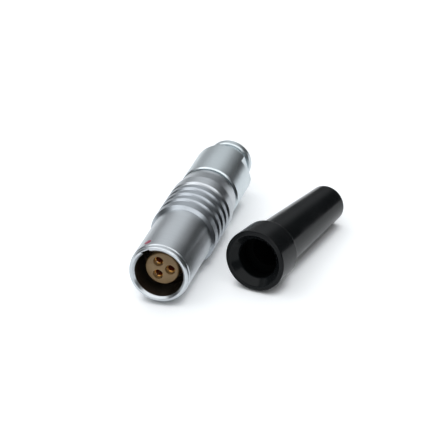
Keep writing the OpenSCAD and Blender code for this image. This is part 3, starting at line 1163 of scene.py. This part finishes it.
def seen_bare(n: Nodes) -> NodeSocket:
    """1 for camera, glossy and transmission rays, and 0 for the rays that light things."""
    rays = n.add("ShaderNodeLightPath").outputs
    seen = n.math("MAXIMUM", rays["Is Camera Ray"], rays["Is Transmission Ray"])
    return n.math("MAXIMUM", seen, rays["Is Glossy Ray"])


@dataclass(frozen=True)
class Lamp:
    """An area lamp of even glow that points at the object's middle."""

    name: str
    at: Triple
    size: tuple[float, float]
    glow: float
    target: Triple = (6.0, 22.0, 0.0)

    def hang(self) -> None:
        """Makes the lamp: one of radiance L and area A gives out pi L A watts."""
        data = bpy.data.lights.new(self.name, "AREA")
        data.shape = "RECTANGLE"
        data.size, data.size_y = self.size[0] * MM, self.size[1] * MM
        data.energy = math.pi * self.glow * data.size * data.size_y
        aim(linked(self.name, data), self.at, np.array(self.target) - np.array(self.at))


@dataclass(frozen=True)
class Patch:
    """A soft light patch on the tent's wall.

    It is the cosine of the turn from its middle, ramped from its edge to its peak,
    times a ramp of the height.
    """

    turn: float
    edge: float
    peak: float
    heights: tuple[float, float, float, float]


@dataclass
class Studio:
    """White table, a tent for the metal to mirror, soft lamps and the camera."""

    table_half: float = 590.0
    table_drop: float = 0.01
    table_color: Triple = (0.79, 0.80, 0.81)
    table_glow: Triple = (0.93, 0.97, 1.0)
    table_glow_strength: float = 0.38
    # Painted contact shadow: distance over which a near surface dims the table's glow, and the
    # openness at which the glow starts and is full
    painted_shadow_reach: float = 2.5
    painted_shadow_open: tuple[float, float] = (0.3, 0.9)
    tent_r: float = 600.0
    tent_h: float = 700.0
    tent_hole_r: float = 2.0
    tent_angles: int = 96
    wall_rows: int = 14
    roof_rows: int = 8
    tent_glow: Triple = (0.94, 0.97, 1.0)
    # Height that the ramps of the glow count in, and the ramp that the patches add to
    glow_h: float = 420.0
    glow_ramp: tuple[float, float, float, float] = (0.45, 1.05, 0.035, 0.25)
    patches: tuple[Patch, ...] = (
        Patch(-11.0, 0.84, 0.54, (0.1, 0.8, 0.1, 1.0)),
        Patch(-60.0, 0.6, 1.0, (0.08, 0.42, 0.75, 0.0)),
    )
    lamps: tuple[Lamp, ...] = (
        Lamp("ceiling back", (0, 240, 440), (900, 450), 0.65),
        Lamp("ceiling front", (0, -240, 440), (900, 450), 1.45),
        Lamp("key", (-200, 100, 300), (280, 280), 1.1),
        Lamp("front", (60, -430, 130), (380, 160), 2.8),
    )
    world_color: Triple = (0.38, 0.395, 0.42)
    camera_at: Triple = (94.4, -297.8, 173.5)
    looking: Triple = (-0.2369, 0.8544, -0.4625)
    lens: float = 162.16
    sensor: float = 36.0

    def floor(self) -> None:
        """A wide white table that keeps the soft shadow and is a touch whiter where seen, with a
        painted contact shadow where its glow fades near the objects.
        """
        half, z = self.table_half * MM, (FLOOR_Z - self.table_drop) * MM
        corners = np.array([[-half, -half, z], [half, -half, z], [half, half, z], [-half, half, z]])
        table = mesh_object("table", corners, np.array([[0, 1, 2, 3]]))
        material, n, shader = new_material("table")
        reach = {"Distance": self.painted_shadow_reach * MM}
        # Painted contact shadow: the glow fades where a surface is near
        contact = n.add("ShaderNodeAmbientOcclusion", named=reach).outputs["AO"]
        openness = (contact, *self.painted_shadow_open)
        glow = n.math("MULTIPLY", seen_bare(n), n.ramp(*openness, 0.0, self.table_glow_strength))
        n.feed_named(shader, {
            "Base Color": self.table_color,
            "Emission Color": self.table_glow,
            "Emission Strength": glow,
            "Specular IOR Level": 0.2,
            "Roughness": n.math("MULTIPLY_ADD", n.noise(n.here(), 900.0), 0.1, 0.6),
        })
        table.data.materials.append(material)

    def tent(self) -> None:
        """A round tent that the camera doesn't see: (r sin t, r cos t, h) for turn t.

        Its wall has r = R, and its roof has h = H with r going to nothing. The wall
        is dark, with a light patch high behind the object and another low on its
        left, so that the metal shows soft dark and light bands.
        """
        roof = np.linspace(self.tent_r, self.tent_hole_r, self.roof_rows)[1:]
        radius = np.concatenate([np.full(self.wall_rows, self.tent_r), roof])
        rise = np.linspace(FLOOR_Z, self.tent_h, self.wall_rows)
        level = np.concatenate([rise, np.full(len(roof), self.tent_h)])
        t, r = np.meshgrid(turn_angles(self.tent_angles), radius, indexing="ij")
        cloth = np.stack([r * np.sin(t), r * np.cos(t), np.broadcast_to(level, t.shape)], -1) * MM
        here = np.arange(t.size).reshape(t.shape)
        along = np.roll(here, -1, axis=0)
        quads = np.stack([here[:, :-1], here[:, 1:], along[:, 1:], along[:, :-1]], -1)
        tent = mesh_object("tent", cloth.reshape(-1, 3), quads.reshape(-1, 4))
        material, n, shader = new_material("tent")
        n.feed_named(shader, {
            "Base Color": (0.0, 0.0, 0.0),
            "Specular IOR Level": 0.0,
            "Emission Color": self.tent_glow,
            "Emission Strength": self.wall_glow(n),
        })
        clear = n.add("ShaderNodeBsdfTransparent").outputs[0]
        to_camera = n.add("ShaderNodeLightPath").outputs["Is Camera Ray"]
        unseen = n.add("ShaderNodeMixShader", to_camera, shader.outputs[0], clear)
        n.feed(n.tree.nodes["Material Output"].inputs["Surface"], unseen.outputs[0])
        tent.data.materials.append(material)

    def wall_glow(self, n: Nodes) -> NodeSocket:
        """Strength of the tent's glow: a ramp of the height and the light patches.

        Args:
            n: helper for the tent's tree.

        Returns:
            The strength.
        """
        x, y, z = n.add("ShaderNodeSeparateXYZ", n.here()).outputs
        height = n.math("MULTIPLY", z, 1 / (self.glow_h * MM))
        glow = n.ramp(height, *self.glow_ramp)
        for patch in self.patches:
            turn, reach = math.radians(patch.turn), self.tent_r * MM
            across = n.math("MULTIPLY", x, math.sin(turn) / reach)
            towards = n.math("MULTIPLY_ADD", y, math.cos(turn) / reach, across)
            spot = n.ramp(towards, patch.edge, 1.0, 0.0, patch.peak)
            glow = n.math("ADD", glow, n.math("MULTIPLY", spot, n.ramp(height, *patch.heights)))
        return glow

    def world(self) -> None:
        """Soft grey light from outside the tent, which shows white to the camera and in metal."""
        world = bpy.data.worlds.new("studio")
        bpy.context.scene.world = world
        world.use_nodes = True
        n = Nodes(world.node_tree)
        color = n.mix(seen_bare(n), self.world_color, (1.0, 1.0, 1.0))
        n.feed_named(n.tree.nodes["Background"], {"Color": color, "Strength": 1.0})

    def camera(self) -> None:
        """The camera, level, on the line of sight."""
        data = bpy.data.cameras.new("camera")
        data.lens, data.sensor_width = self.lens, self.sensor
        data.clip_start, data.clip_end = 0.01, 10.0
        camera = linked("camera", data)
        aim(camera, self.camera_at, self.looking)
        bpy.context.scene.camera = camera

    def build(self) -> None:
        """Sets up the whole studio."""
        bpy.context.scene.view_settings.view_transform = "Standard"
        self.floor()
        self.tent()
        self.world()
        for lamp in self.lamps:
            lamp.hang()
        self.camera()


def main() -> None:
    """Builds the finishes, every sub-assembly and the studio, in that order."""
    logging.basicConfig(level=logging.INFO, format="%(name)s: %(message)s")
    finishes = Finishes()
    for part in (Shell(), ColletNut(), BendRelief(), AlignmentDot(), CarriedPieces()):
        part.build(finishes)
    Studio().build()


if __name__ == "__main__":
    main()
